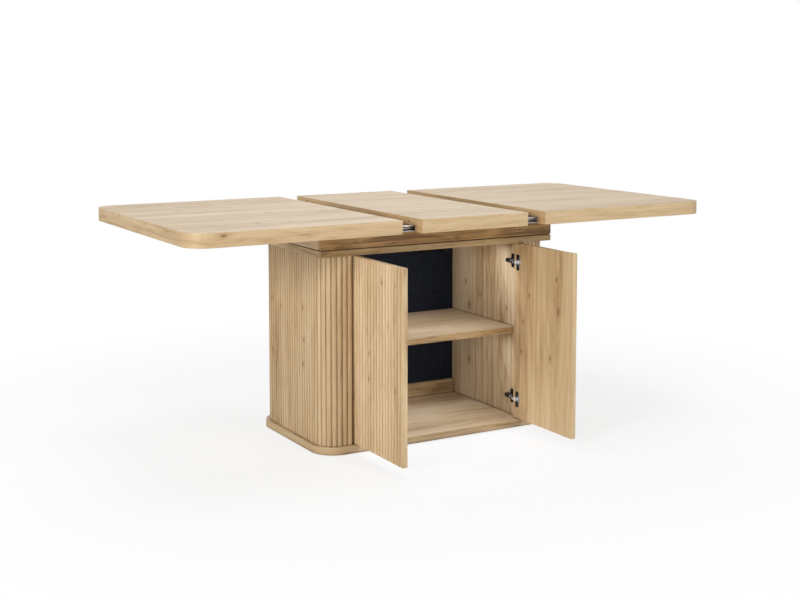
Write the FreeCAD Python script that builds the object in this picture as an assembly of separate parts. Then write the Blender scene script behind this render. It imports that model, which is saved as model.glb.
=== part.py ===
import FreeCAD
import Part
import math
import os

V = FreeCAD.Vector

# Extending dining table on a storage cabinet, in millimetres.
# X runs along the table, the doors face -Y, Z is up, and the origin is on the
# floor under the middle of the cabinet.  The table is drawn with its two half
# tops pulled apart, the loose insert in place, and both doors open.

# --- Top: two half tops and one insert ------------------------------------
table_height = 774.0
top_depth = 900.0
half_length = 695.0
insert_length = 400.0
rest_gap = 70.0            # each half top stands this far from the insert
panel_thick = 22.0
strip_thick = 22.0         # strips glued under the panel edges
strip_width = 46.0
band_thick = 2.0           # edging that covers panel and strip together
band_round = 1.5
top_corner_r = 70.0
inner_edge_round = 1.0

dowel_d = 8.0
dowel_out = 18.0           # length that stands out of the edge
dowel_in = 22.0            # length that is glued in
dowel_from_edge = 85.0
dowel_drop = 14.0          # below the top face
dowel_hole_clear = 0.3     # on the radius
dowel_hole_spare = 2.0     # left at the bottom of the hole

# --- Cabinet ---------------------------------------------------------------
glide_thick = 3.0
glide_d = 36.0
glide_inset = 60.0         # from the edges of the plinth
plinth_thick = 25.0
plinth_ledge = 13.0        # plinth beyond the ribbed body
plinth_round = 2.0
body_length = 874.0
body_depth = 477.0
body_corner_r = 70.0
shell_flat = 31.0          # front flat of a ribbed shell, beside the door

rib_pitch = 18.4
rib_groove = 4.4
rib_depth = 4.5
rib_crown = 1.6            # how far each rib bulges above its shoulders
ribbed_thick = 18.0        # ribbed board, ribs included

wall_thick = 16.0
wall_from_door = 6.0       # front edge of an inner wall behind the closed door
liner_thick = 4.0
liner_from_back = 4.5      # back liner to the ribbed back panel
back_rail_height = 50.0
back_rail_thick = 16.0
shelf_thick = 22.0
shelf_top_over_floor = 316.0
shelf_setback = 14.5       # behind the front edges of the inner walls
shelf_side_clear = 0.3
shelf_pin_d = 5.0
shelf_pin_in = 9.0
shelf_pin_out = 9.0
shelf_pin_inset = 50.0     # from the front and back edges of the shelf
pin_clear = 0.05
batten_depth = 36.0
panel_joint = 1.0          # joint between the ribbed back panel and a shell

# --- Frame under the top ---------------------------------------------------
frame_over_sides = 10.0    # frame beyond the ribbed body, at each end
frame_over_front = 0.5     # and at the front and back
cabinet_top_thick = 20.0
spacer_thick = 3.0         # thin board that makes the shadow line
spacer_inset = 5.0         # behind the front and back of the frame
spacer_end_inset = 2.0     # and inside its ends
rail_thick = 18.0
rail_height = 63.0
frame_edge_round = 1.0
corner_block = 44.0
corner_block_height = 54.0
bolt_d = 8.0
bolt_head_d = 14.0
bolt_head_h = 5.0
bolt_from_rails = 28.0     # keeps the heads clear of the ribbed shells' corners
bolt_in_block = 40.0
bolt_clear = 0.1

bearer_width = 60.0
outer_bearer_in = 45.0     # middle of the bearer, from the end of the frame
inner_bearer_in = 82.0     # middle of the bearer, from the end of the insert
outer_bearer_drop = 1.5    # outer bearers stay clear of the sliding panels
insert_seat_clear = 0.2

# --- Runners ---------------------------------------------------------------
runner_seat_clear = 0.3    # runner to the strip it is screwed to
runner_top_clear = 1.0     # runner below the panel
runner_height = 20.0
runner_plate = 2.0         # sheet thickness
runner_depth = 14.5        # whole runner, measured across the table
fixed_depth = 9.0          # outer channel, measured across the table
fixed_lip = 4.0
fixed_inset = 7.0          # ends of the fixed rail, from the ends of the frame
slide_length = 600.0
slide_play = 1.0
slide_bar_height = 11.0
slide_web_height = 2.5
guide_length = 20.0
stop_length = 8.0
stop_height = 2.0
stop_clear = 0.3           # left between guide and stop at full travel
out_travel = 30.0          # from rest to the runner's stop

screw_d = 4.0
screw_head_d = 7.6
screw_head_h = 1.6
screw_clear = 0.1
bearer_screw_length = 46.0
rail_screw_length = 26.0
rail_screw_spread = 36.0
slide_screw_length = 18.0
slide_screw_rise = 5.5     # above the middle of the runner, clear of the web
slide_screws = 4

# --- Doors and hinges ------------------------------------------------------
door_gap_middle = 2.5      # between the two closed doors
door_gap_floor = 2.0
door_gap_top = 2.0
door_overlay = 4.0         # closed door over the front edge of the inner wall
shell_end_gap = 4.0        # closed door to the end of the ribbed shell
door_rest_angle = 90.0
hinge_from_floor = 68.0
hinge_from_top = 69.0
pivot_from_edge = 12.75
pivot_from_inside = 9.0
cup_d = 35.0
cup_clear = 0.1
cup_depth = 12.5
cup_wall = 0.9
cup_from_edge = 22.0
cup_wing_width = 18.0
cup_wing_reach = 30.0
cup_wing_thick = 1.4
cup_screw_z = 24.0
hinge_pin_d = 2.4
knuckle_d = 4.8
hinge_pin_clear = 0.05
arm_sheet = 2.0
arm_height = 12.0
arm_neck_out = 14.25       # from the pivot to the neck of the arm
arm_neck_end = 1.5         # these three lie behind the front edge of the wall
arm_shoulder = 11.5
arm_tail_end = 57.0
arm_tail_thick = 6.0
arm_tail_height = 14.0
plate_thick = 2.5
plate_block = 8.0
plate_wing_from = 20.5     # from the front edge of the wall
plate_wing_width = 18.0
plate_wing_reach = 24.0
plate_screw_z = 16.0
plate_screw_length = 12.0

# --- Push latches ----------------------------------------------------------
latch_x = 34.0
latch_width = 16.0
latch_height = 16.0
latch_length = 62.0
latch_setback = 3.0        # housing behind the closed door
plunger_d = 8.0
plunger_clear = 0.3
plunger_length = 40.0
plunger_door_clear = 0.5
plunger_travel = 4.0

# --- Levels and edges that follow from the sizes above ----------------------
z_plinth = glide_thick
z_floor = z_plinth + plinth_thick
z_top = table_height
z_panel = z_top - panel_thick
z_strip = z_panel - strip_thick
z_rail_top = z_strip
z_frame = z_rail_top - rail_height
z_spacer = z_frame - spacer_thick
z_cab_top = z_spacer - cabinet_top_thick
cabinet_inner_height = z_cab_top - z_floor
half_insert = insert_length / 2
x_inner = half_insert + rest_gap
x_outer = x_inner + half_length
y_top = top_depth / 2
y_strip = y_top - strip_width
x_body = body_length / 2
y_body = body_depth / 2
y_body_in = y_body - ribbed_thick
x_shell_end = x_body - body_corner_r - shell_flat
x_door_edge = x_shell_end - shell_end_gap
x_wall = x_door_edge - door_overlay
x_wall_out = x_wall + wall_thick
y_door_out = -y_body
y_door_in = y_door_out + ribbed_thick
wall_front_y = y_door_in + wall_from_door
liner_back_y = y_body_in - liner_from_back
liner_front_y = liner_back_y - liner_thick
shelf_front_y = wall_front_y + shelf_setback
half_fx = x_body + frame_over_sides
half_fy = y_body + frame_over_front
z_door = z_floor + door_gap_floor
z_door_top = z_cab_top - door_gap_top
hinge_levels = (z_floor + hinge_from_floor, z_cab_top - hinge_from_top)
pivot_x = x_door_edge - pivot_from_edge
pivot_y = y_door_in - pivot_from_inside
cup_x = x_door_edge - cup_from_edge
z_dowel = z_top - dowel_drop
dowel_y = y_top - dowel_from_edge
y_runner_out = y_strip - runner_seat_clear
y_fixed_web = y_runner_out - runner_depth
z_runner_top = z_panel - runner_top_clear
z_runner = z_runner_top - runner_height
z_runner_mid = z_runner + runner_height / 2

os.makedirs("parts", exist_ok=True)


def save(name, *solids):
    shape = solids[0] if len(solids) == 1 else Part.makeCompound(list(solids))
    shape.exportStep("parts/" + name + ".step")


def block(x0, x1, y0, y1, z0, z1):
    corner = V(min(x0, x1), min(y0, y1), min(z0, z1))
    return Part.makeBox(abs(x1 - x0), abs(y1 - y0), abs(z1 - z0), corner)


def rod(diameter, start, direction, length):
    return Part.makeCylinder(diameter / 2, length, start, direction)


def mirror_x(shape):
    return shape.mirror(V(0, 0, 0), V(1, 0, 0))


def mirror_y(shape):
    return shape.mirror(V(0, 0, 0), V(0, 1, 0))


def four_corners(shape):
    """The shape and its mirror images in the other three quarters."""
    pair = [shape, mirror_x(shape)]
    return pair + [mirror_y(one) for one in pair]


def round_edges(shape, radius, wanted):
    edges = [e for e in shape.Edges if wanted(e.BoundBox)]
    return shape.makeFillet(radius, edges)


def outline(x0, x1, half_y, radius, round_inner):
    """Closed outline, symmetric in Y, rounded at x1 and, if asked, at x0."""
    k = radius * (1 - math.sqrt(0.5))
    edges = []

    def line(a, b):
        edges.append(Part.makeLine(V(*a, 0), V(*b, 0)))

    def arc(a, middle, b):
        edges.append(Part.Arc(V(*a, 0), V(*middle, 0), V(*b, 0)).toShape())

    r0 = radius if round_inner else 0
    line((x0 + r0, -half_y), (x1 - radius, -half_y))
    arc((x1 - radius, -half_y), (x1 - k, -half_y + k), (x1, -half_y + radius))
    line((x1, -half_y + radius), (x1, half_y - radius))
    arc((x1, half_y - radius), (x1 - k, half_y - k), (x1 - radius, half_y))
    line((x1 - radius, half_y), (x0 + r0, half_y))
    if round_inner:
        arc((x0 + r0, half_y), (x0 + k, half_y - k), (x0, half_y - r0))
    line((x0, half_y - r0), (x0, -half_y + r0))
    if round_inner:
        arc((x0, -half_y + r0), (x0 + k, -half_y + k), (x0 + r0, -half_y))
    return Part.Wire(edges)


def slab(wire, z0, z1):
    face = Part.Face(wire)
    face.translate(V(0, 0, z0))
    return face.extrude(V(0, 0, z1 - z0))


def countersunk(start, direction, length, clear=0.0):
    """Screw with its head at start, driven along direction."""
    head = rod(screw_head_d + 2 * clear, start, direction, screw_head_h)
    shank = rod(screw_d + 2 * clear, start, direction, length + clear)
    return head.fuse(shank)


# --- Ribbed boards ---------------------------------------------------------

def rib_outline(at, length):
    """Edges of the ribbed face; at(s, depth) places a point of the board."""
    count = round((length + rib_groove) / rib_pitch)
    pitch = (length + rib_groove) / count
    rib = pitch - rib_groove
    edges = []
    for i in range(count):
        s0 = i * pitch
        s1 = s0 + rib
        shoulder0 = at(s0, rib_crown)
        shoulder1 = at(s1, rib_crown)
        crest = at((s0 + s1) / 2, 0)
        edges.append(Part.Arc(shoulder0, crest, shoulder1).toShape())
        if i < count - 1:
            foot0 = at(s1, rib_depth)
            foot1 = at(s1 + rib_groove, rib_depth)
            edges.append(Part.makeLine(shoulder1, foot0))
            edges.append(Part.makeLine(foot0, foot1))
            edges.append(Part.makeLine(foot1, at(s1 + rib_groove, rib_crown)))
    return edges


def ribbed_board(x0, x1, y_face, inward, z0, z1):
    """Flat ribbed board whose crests lie on y_face; inward is +1 or -1."""
    def at(s, depth):
        return V(x0 + s, y_face + inward * depth, z0)

    width = x1 - x0
    edges = rib_outline(at, width)
    a0, a1 = at(0, rib_crown), at(width, rib_crown)
    b0, b1 = at(0, ribbed_thick), at(width, ribbed_thick)
    edges += [Part.makeLine(a1, b1), Part.makeLine(b1, b0), Part.makeLine(b0, a0)]
    return Part.Face(Part.Wire(edges)).extrude(V(0, 0, z1 - z0))


def shell_path():
    """Right-hand shell seen from above: flat, corner, side, corner, flat."""
    r = body_corner_r
    front = x_body - r - x_shell_end
    turn = math.pi * r / 2
    side = body_depth - 2 * r
    total = 2 * front + 2 * turn + side

    def at(s, depth):
        if s > total / 2:
            p = at(total - s, depth)
            return V(p.x, -p.y, p.z)
        if s <= front:
            return V(x_shell_end + s, -y_body + depth, z_floor)
        if s <= front + turn:
            a = (s - front) / r
            reach = r - depth
            x = x_body - r + reach * math.sin(a)
            return V(x, -y_body + r - reach * math.cos(a), z_floor)
        return V(x_body - depth, -y_body + r + (s - front - turn), z_floor)

    return at, total


def make_shell():
    at, total = shell_path()
    edges = rib_outline(at, total)
    r = body_corner_r - ribbed_thick
    inner = outline(0, x_body - ribbed_thick, y_body_in, r, False)
    hollow = slab(inner, z_floor, z_cab_top)
    a0, a1 = at(0, rib_crown), at(total, rib_crown)
    edges += [Part.makeLine(a1, a0)]
    solid = Part.Face(Part.Wire(edges)).extrude(V(0, 0, cabinet_inner_height))
    return solid.cut(hollow)


# --- Plinth ----------------------------------------------------------------

def make_plinth():
    x = x_body + plinth_ledge
    y = y_body + plinth_ledge
    wire = outline(-x, x, y, body_corner_r + plinth_ledge, True)
    board = slab(wire, z_plinth, z_floor)
    return round_edges(board, plinth_round, lambda b: b.ZMin > z_floor - 0.01)


def make_glides():
    reach_x = x_body + plinth_ledge - glide_inset
    reach_y = y_body + plinth_ledge - glide_inset
    pads = []
    for i in (-1, 0, 1):
        for j in (-1, 0, 1):
            start = V(i * reach_x, j * reach_y, 0)
            pads.append(rod(glide_d, start, V(0, 0, 1), glide_thick))
    return pads


save("plinth_board", make_plinth())
save("plinth_glides", *make_glides())

# --- Cabinet ---------------------------------------------------------------

z_shelf_top = z_floor + shelf_top_over_floor
z_shelf = z_shelf_top - shelf_thick
z_shelf_pin = z_shelf - shelf_pin_d / 2
shelf_pin_ys = (shelf_front_y + shelf_pin_inset, liner_front_y - shelf_pin_inset)


def shelf_pin(y, clear=0.0):
    start = V(x_wall - shelf_pin_out, y, z_shelf_pin)
    length = shelf_pin_out + shelf_pin_in + clear
    return rod(shelf_pin_d + 2 * clear, start, V(1, 0, 0), length)


def plate_screw(z, clear=0.0):
    y = wall_front_y + plate_wing_from + plate_wing_width / 2
    start = V(x_wall - plate_thick, y, z)
    return countersunk(start, V(1, 0, 0), plate_screw_length, clear)


def plate_screw_levels():
    return [z + side * plate_screw_z for z in hinge_levels for side in (-1, 1)]


def make_wall():
    wall = block(x_wall, x_wall_out, wall_front_y, y_body_in, z_floor, z_cab_top)
    for y in shelf_pin_ys:
        wall = wall.cut(shelf_pin(y, pin_clear))
    for z in plate_screw_levels():
        wall = wall.cut(plate_screw(z, screw_clear))
    return wall


wall = make_wall()
save("right_side_wall", wall)
save("left_side_wall", mirror_x(wall))

shelf_x = x_wall - shelf_side_clear
shelf = block(-shelf_x, shelf_x, shelf_front_y, liner_front_y, z_shelf, z_shelf_top)
save("shelf", round_edges(shelf, frame_edge_round, lambda b: b.YMax < shelf_front_y + 0.01
                          and b.XLength > x_wall))
pins = [shelf_pin(y) for y in shelf_pin_ys]
save("shelf_pins", *pins, *[mirror_x(pin) for pin in pins])

save("back_liner", block(-x_wall, x_wall, liner_front_y, liner_back_y, z_floor, z_cab_top))
rail_y = liner_front_y - back_rail_thick
save("lower_back_rail",
     block(-x_wall, x_wall, rail_y, liner_front_y, z_floor, z_floor + back_rail_height))
save("upper_back_rail",
     block(-x_wall, x_wall, rail_y, liner_front_y, z_cab_top - back_rail_height, z_cab_top))

shell = make_shell()
save("right_ribbed_shell", shell)
save("left_ribbed_shell", mirror_x(shell))
x_back = x_shell_end - panel_joint
save("ribbed_back_panel", ribbed_board(-x_back, x_back, y_body, -1, z_floor, z_cab_top))


def make_battens():
    """Upright battens that join the flats of a ribbed shell to the inner wall."""
    x1 = x_body - body_corner_r
    front = block(x_wall_out, x1, -y_body_in, -y_body_in + batten_depth, z_floor, z_cab_top)
    return [front, mirror_y(front)]


battens = make_battens()
save("shell_battens", *battens, *[mirror_x(one) for one in battens])

# --- Frame under the top ---------------------------------------------------

block_x = half_fx - rail_thick
block_y = half_fy - rail_thick
bolt_x = block_x - bolt_from_rails
bolt_y = block_y - bolt_from_rails


def frame_bolt(clear=0.0):
    """Bolt from inside the cabinet up into a corner block."""
    head = rod(bolt_head_d, V(bolt_x, bolt_y, z_cab_top - bolt_head_h), V(0, 0, 1), bolt_head_h)
    length = cabinet_top_thick + spacer_thick + bolt_in_block + clear
    shank = rod(bolt_d + 2 * clear, V(bolt_x, bolt_y, z_cab_top), V(0, 0, 1), length)
    return shank if clear else head.fuse(shank)


def bearer_screw(x, clear=0.0):
    y = half_fy - rail_thick / 2
    z = z_panel - outer_bearer_drop
    return countersunk(V(x, y, z), V(0, 0, -1), bearer_screw_length, clear)


def drill(shape, tools):
    for tool in tools:
        shape = shape.cut(tool)
    return shape


bolt_holes = four_corners(frame_bolt(bolt_clear))
outer_bearer_x = half_fx - outer_bearer_in
inner_bearer_x = half_insert - inner_bearer_in
bearer_xs = (outer_bearer_x, inner_bearer_x)
bearer_holes = [h for x in bearer_xs for h in four_corners(bearer_screw(x, screw_clear))]

top_board = block(-half_fx, half_fx, -half_fy, half_fy, z_cab_top, z_spacer)
top_board = round_edges(top_board, frame_edge_round, lambda b: b.ZLength < 0.1)
save("cabinet_top_board", drill(top_board, bolt_holes))
sx = half_fx - spacer_end_inset
sy = half_fy - spacer_inset
save("spacer_board", drill(block(-sx, sx, -sy, sy, z_spacer, z_frame), bolt_holes))

long_rail = block(-half_fx, half_fx, half_fy - rail_thick, half_fy, z_frame, z_rail_top)
long_rail = round_edges(long_rail, frame_edge_round,
                        lambda b: b.YMin > half_fy - 0.01 and b.XLength > rail_thick)
save("back_apron_rail", drill(long_rail, bearer_holes))
save("front_apron_rail", drill(mirror_y(long_rail), bearer_holes))
end_rail = block(half_fx - rail_thick, half_fx, -block_y, block_y, z_frame, z_rail_top)
save("right_apron_rail", end_rail)
save("left_apron_rail", mirror_x(end_rail))

one_block = block(block_x - corner_block, block_x, block_y - corner_block, block_y,
                  z_frame, z_frame + corner_block_height)
save("corner_blocks", *[drill(one, bolt_holes) for one in four_corners(one_block)])
save("frame_bolts", *four_corners(frame_bolt()))

# --- Bearers and fixed rails -------------------------------------------------


def rail_screw(x, clear=0.0):
    """Screw through the web of the fixed rail into the end of a bearer."""
    start = V(x, y_fixed_web + runner_plate + screw_head_h, z_runner_mid)
    return countersunk(start, V(0, -1, 0), rail_screw_length, clear)


def rail_screw_xs():
    return [x + side * rail_screw_spread / 2 for x in bearer_xs for side in (-1, 1)]


rail_holes = [h for x in rail_screw_xs() for h in four_corners(rail_screw(x, screw_clear))]


def make_bearer(x, z_upper):
    bar = block(x - bearer_width / 2, x + bearer_width / 2, -y_fixed_web, y_fixed_web,
                z_rail_top, z_upper)
    return drill(drill(bar, bearer_holes), rail_holes)


outer_bearer = make_bearer(outer_bearer_x, z_panel - outer_bearer_drop)
inner_bearer = make_bearer(inner_bearer_x, z_panel - insert_seat_clear)
save("outer_bearers", outer_bearer, mirror_x(outer_bearer))
save("inner_bearers", inner_bearer, mirror_x(inner_bearer))
frame_screws = [s for x in bearer_xs for s in four_corners(bearer_screw(x))]
frame_screws += [s for x in rail_screw_xs() for s in four_corners(rail_screw(x))]
save("frame_screws", *frame_screws)


def make_fixed_rail():
    """Lipped channel, open outwards, with two welded stops."""
    x = half_fx - fixed_inset
    y0 = y_fixed_web
    y1 = y0 + fixed_depth
    p = runner_plate
    rail = block(-x, x, y0, y1, z_runner, z_runner_top)
    rail = rail.cut(block(-x, x, y0 + p, y1 - p, z_runner + p, z_runner_top - p))
    lip = p + fixed_lip
    rail = rail.cut(block(-x, x, y1 - p, y1, z_runner + lip, z_runner_top - lip))
    stop_x = x_inner + guide_length + out_travel + stop_clear
    z_stop = z_runner_top - p
    for side in (-1, 1):
        x0 = side * stop_x
        x1 = side * (stop_x + stop_length)
        rail = rail.fuse(block(x0, x1, y0 + p, y1 - p, z_stop - stop_height, z_stop))
    return drill(rail, rail_holes)


fixed_rail = make_fixed_rail()
save("back_fixed_rail", fixed_rail)
save("front_fixed_rail", mirror_y(fixed_rail))

# --- Half tops ---------------------------------------------------------------


def slide_screw_xs():
    step = slide_length / slide_screws
    return [x_inner + step * (i + 0.5) for i in range(slide_screws)]


def slide_screw(x, clear=0.0):
    """Screw through the slide into the strip beside it."""
    start = V(x, y_runner_out - runner_plate - screw_head_h, z_runner_mid + slide_screw_rise)
    return countersunk(start, V(0, 1, 0), slide_screw_length, clear)


slide_holes = [slide_screw(x, screw_clear) for x in slide_screw_xs()]
slide_holes += [mirror_y(hole) for hole in slide_holes]


def dowel(x_edge, toward, clear=0.0):
    """Dowel pin that stands out of the edge at x_edge; toward is +1 or -1."""
    start = V(x_edge - toward * dowel_in, dowel_y, z_dowel)
    length = dowel_in + dowel_out + clear
    return rod(dowel_d + 2 * clear, start, V(toward, 0, 0), length)


def dowel_hole(x_edge, into):
    depth = dowel_out + dowel_hole_spare
    start = V(x_edge, dowel_y, z_dowel)
    return rod(dowel_d + 2 * dowel_hole_clear, start, V(into, 0, 0), depth)


def both_sides(shape):
    return [shape, mirror_y(shape)]


def inner_outline():
    """Outline of the half top inside its edging."""
    r = top_corner_r - band_thick
    return outline(x_inner, x_outer - band_thick, y_top - band_thick, r, False)


def make_half_panel():
    panel = slab(inner_outline(), z_panel, z_top)
    return round_edges(panel, inner_edge_round,
                       lambda b: b.XMax < x_inner + 0.01 and b.ZMin > z_top - 0.01)


def make_strip(x0, x1, y0, y1):
    return slab(inner_outline(), z_strip, z_panel).common(block(x0, x1, y0, y1, z_strip, z_panel))


def make_edge_band():
    outer = slab(outline(x_inner, x_outer, y_top, top_corner_r, False), z_strip, z_top)
    outer = round_edges(outer, band_round, lambda b: b.ZLength < 0.1 and b.XMax > x_inner + 1)
    return outer.cut(slab(inner_outline(), z_strip, z_top))


def make_slide():
    """Slide of one half top: bar in the channel, web, and plate on the strip."""
    p = runner_plate
    x0 = x_inner
    x1 = x_inner + slide_length
    y_bar = y_fixed_web + p + slide_play + screw_head_h
    y_plate = y_runner_out - p
    bar = block(x0, x1, y_bar, y_bar + p, z_runner_mid - slide_bar_height / 2,
                z_runner_mid + slide_bar_height / 2)
    web = block(x0, x1, y_bar + p, y_plate, z_runner_mid - slide_web_height / 2,
                z_runner_mid + slide_web_height / 2)
    plate = block(x0, x1, y_plate, y_runner_out, z_runner, z_runner_top)
    return drill(bar.fuse([web, plate]).removeSplitter(), slide_holes)


def make_guide():
    """Nylon guide on the inner end of the slide bar; it fills the channel."""
    p = runner_plate
    y0 = y_fixed_web + p + screw_head_h + slide_play / 2
    y1 = y_fixed_web + fixed_depth - p - slide_play / 2
    inset = p + slide_play / 2
    return block(x_inner, x_inner + guide_length, y0, y1, z_runner + inset, z_runner_top - inset)


x_end_strip = x_outer - strip_width
end_strip = make_strip(x_end_strip, x_outer, -y_strip, y_strip)
side_strip = drill(make_strip(x_inner, x_outer, y_strip, y_top), slide_holes)
half_panel = make_half_panel()
edge_band = make_edge_band()
slide_body = make_slide()
guide_body = make_guide().cut(slide_body)
slides = both_sides(slide_body)
guides = both_sides(guide_body)
slide_screw_set = [s for x in slide_screw_xs() for s in both_sides(slide_screw(x))]

save("right_top_panel", drill(half_panel, both_sides(dowel_hole(x_inner, 1))))
save("right_top_back_strip", side_strip)
save("right_top_front_strip", mirror_y(side_strip))
save("right_top_end_strip", end_strip)
save("right_top_edge_band", edge_band)
save("right_top_slides", *slides)
save("right_top_slide_guides", *guides)
save("right_top_slide_screws", *slide_screw_set)

left_dowels = both_sides(dowel(-x_inner, 1))
save("left_top_panel", drill(mirror_x(half_panel), both_sides(dowel(-x_inner, 1, pin_clear))))
save("left_top_back_strip", mirror_x(side_strip))
save("left_top_front_strip", mirror_y(mirror_x(side_strip)))
save("left_top_end_strip", mirror_x(end_strip))
save("left_top_edge_band", mirror_x(edge_band))
save("left_top_slides", *[mirror_x(one) for one in slides])
save("left_top_slide_guides", *[mirror_x(one) for one in guides])
save("left_top_slide_screws", *[mirror_x(one) for one in slide_screw_set])
save("left_top_dowels", *left_dowels)

# --- Insert ------------------------------------------------------------------


def make_insert_panel():
    y = y_top - band_thick
    panel = block(-half_insert, half_insert, -y, y, z_panel, z_top)
    panel = round_edges(panel, inner_edge_round,
                        lambda b: b.XLength < 0.1 and b.ZMin > z_top - 0.01)
    holes = both_sides(dowel_hole(-half_insert, 1))
    holes += both_sides(dowel(half_insert, 1, pin_clear))
    return drill(panel, holes)


insert_strip = block(-half_insert, half_insert, y_strip, y_top - band_thick, z_strip, z_panel)
insert_band = block(-half_insert, half_insert, y_top - band_thick, y_top, z_strip, z_top)
insert_band = round_edges(insert_band, band_round,
                          lambda b: b.YMin > y_top - 0.01 and b.XLength > band_thick)
save("insert_panel", make_insert_panel())
save("insert_back_strip", insert_strip)
save("insert_front_strip", mirror_y(insert_strip))
save("insert_edge_bands", *both_sides(insert_band))
save("insert_dowels", *both_sides(dowel(half_insert, 1)))

# --- Doors -------------------------------------------------------------------


def swing(shape):
    """Turn a closed right-hand door piece to the position it is drawn in."""
    turned = shape.copy()
    turned.rotate(V(pivot_x, pivot_y, 0), V(0, 0, 1), door_rest_angle)
    return turned


def cup_screw(z, side, clear=0.0):
    start = V(cup_x, y_door_in + cup_wing_thick, z + side * cup_screw_z)
    return countersunk(start, V(0, -1, 0), plate_screw_length, clear)


def cup_screws(clear=0.0):
    return [cup_screw(z, side, clear) for z in hinge_levels for side in (-1, 1)]


def hinge_pin(z, clear=0.0):
    reach = math.sqrt((cup_d / 2 - cup_wall) ** 2 - (pivot_x - cup_x) ** 2)
    start = V(pivot_x, pivot_y, z - reach)
    return rod(hinge_pin_d + 2 * clear, start, V(0, 0, 1), 2 * reach)


def make_door():
    x0 = door_gap_middle / 2
    door = ribbed_board(x0, x_door_edge, y_door_out, 1, z_door, z_door_top)
    holes = [rod(cup_d + 2 * cup_clear, V(cup_x, y_door_in, z), V(0, -1, 0), cup_depth + cup_clear)
             for z in hinge_levels]
    return drill(door, holes + cup_screws(screw_clear))


def make_cup(z):
    """Steel cup with two wings and the pin that the arm turns on."""
    down = V(0, -1, 0)
    cup = rod(cup_d, V(cup_x, y_door_in, z), down, cup_depth)
    wings = block(cup_x - cup_wing_width / 2, cup_x + cup_wing_width / 2, y_door_in,
                  y_door_in + cup_wing_thick, z - cup_wing_reach, z + cup_wing_reach)
    bore = rod(cup_d - 2 * cup_wall, V(cup_x, y_door_in + cup_wing_thick, z), down,
               cup_depth + cup_wing_thick - cup_wall)
    cup = cup.fuse(wings).cut(bore)
    return drill(cup.fuse(hinge_pin(z)), cup_screws(screw_clear))


door = swing(make_door())
cups = [swing(make_cup(z)) for z in hinge_levels]
door_screws = [swing(one) for one in cup_screws()]
save("right_door_panel", door)
save("left_door_panel", mirror_x(door))
save("right_door_hinge_cups", *cups)
save("left_door_hinge_cups", *[mirror_x(one) for one in cups])
save("right_door_screws", *door_screws)
save("left_door_screws", *[mirror_x(one) for one in door_screws])


def thick_line(points, thick, z0, z1):
    """Bent sheet that follows a line of points seen from above."""
    left, right = [], []
    for i, p in enumerate(points):
        before = points[max(i - 1, 0)]
        after = points[min(i + 1, len(points) - 1)]
        d0 = (p - before) if i else (after - p)
        d1 = (after - p) if i < len(points) - 1 else d0
        d0.normalize()
        d1.normalize()
        n = V(-(d0.y + d1.y), d0.x + d1.x, 0)
        n.normalize()
        reach = thick / 2 / n.dot(V(-d0.y, d0.x, 0))
        left.append(p + n * reach)
        right.append(p - n * reach)
    ring = left + right[::-1] + [left[0]]
    face = Part.Face(Part.makePolygon(ring))
    face.translate(V(0, 0, z0))
    return face.extrude(V(0, 0, z1 - z0))


x_tail = x_wall - plate_block
x_tail_mid = x_tail - arm_tail_thick / 2
y_shoulder = wall_front_y + arm_shoulder
y_tail = wall_front_y + arm_tail_end


def make_arm(z):
    """Goose-neck arm: knuckle on the pin, neck round the door edge, tail."""
    neck_x = pivot_x - arm_neck_out
    bend = arm_sheet
    points = [V(pivot_x, pivot_y, 0), V(neck_x + bend, pivot_y, 0), V(neck_x, pivot_y + bend, 0),
              V(neck_x, wall_front_y + arm_neck_end, 0), V(x_tail_mid, y_shoulder, 0),
              V(x_tail_mid, y_shoulder + arm_tail_thick, 0)]
    half = arm_height / 2
    neck = thick_line(points, arm_sheet, z - half, z + half)
    knuckle = rod(knuckle_d, V(pivot_x, pivot_y, z - half), V(0, 0, 1), arm_height)
    tail = block(x_tail - arm_tail_thick, x_tail, y_shoulder, y_tail,
                 z - arm_tail_height / 2, z + arm_tail_height / 2)
    arm = neck.fuse([knuckle, tail])
    return arm.cut(hinge_pin(z, hinge_pin_clear))


def make_plate(z):
    half = arm_height / 2
    y_wing = wall_front_y + plate_wing_from
    wings = block(x_wall - plate_thick, x_wall, y_wing, y_wing + plate_wing_width,
                  z - plate_wing_reach, z + plate_wing_reach)
    spine = block(x_tail, x_wall, y_shoulder, y_tail, z - half, z + half)
    plate = wings.fuse(spine)
    return drill(plate, [plate_screw(level, screw_clear) for level in plate_screw_levels()])


arms = [make_arm(z) for z in hinge_levels]
plates = [make_plate(z) for z in hinge_levels]
plate_screws = [plate_screw(z) for z in plate_screw_levels()]
save("hinge_arms", *arms, *[mirror_x(one) for one in arms])
save("hinge_plates", *plates, *[mirror_x(one) for one in plates])
save("hinge_plate_screws", *plate_screws, *[mirror_x(one) for one in plate_screws])

# --- Push latches --------------------------------------------------------------

z_latch = z_cab_top - latch_height / 2
plunger_tip_y = y_door_in + plunger_door_clear


def plunger(clear=0.0, extra=0.0):
    start = V(latch_x, plunger_tip_y, z_latch)
    return rod(plunger_d + 2 * clear, start, V(0, 1, 0), plunger_length + extra)


def make_latch():
    y0 = y_door_in + latch_setback
    half = latch_width / 2
    body = block(latch_x - half, latch_x + half, y0, y0 + latch_length,
                 z_cab_top - latch_height, z_cab_top)
    return body.cut(plunger(plunger_clear, plunger_travel + plunger_clear))


latch = make_latch()
latch_plunger = plunger()
save("push_latches", latch, mirror_x(latch))
save("right_latch_plunger", latch_plunger)
save("left_latch_plunger", mirror_x(latch_plunger))
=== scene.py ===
import math

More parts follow.
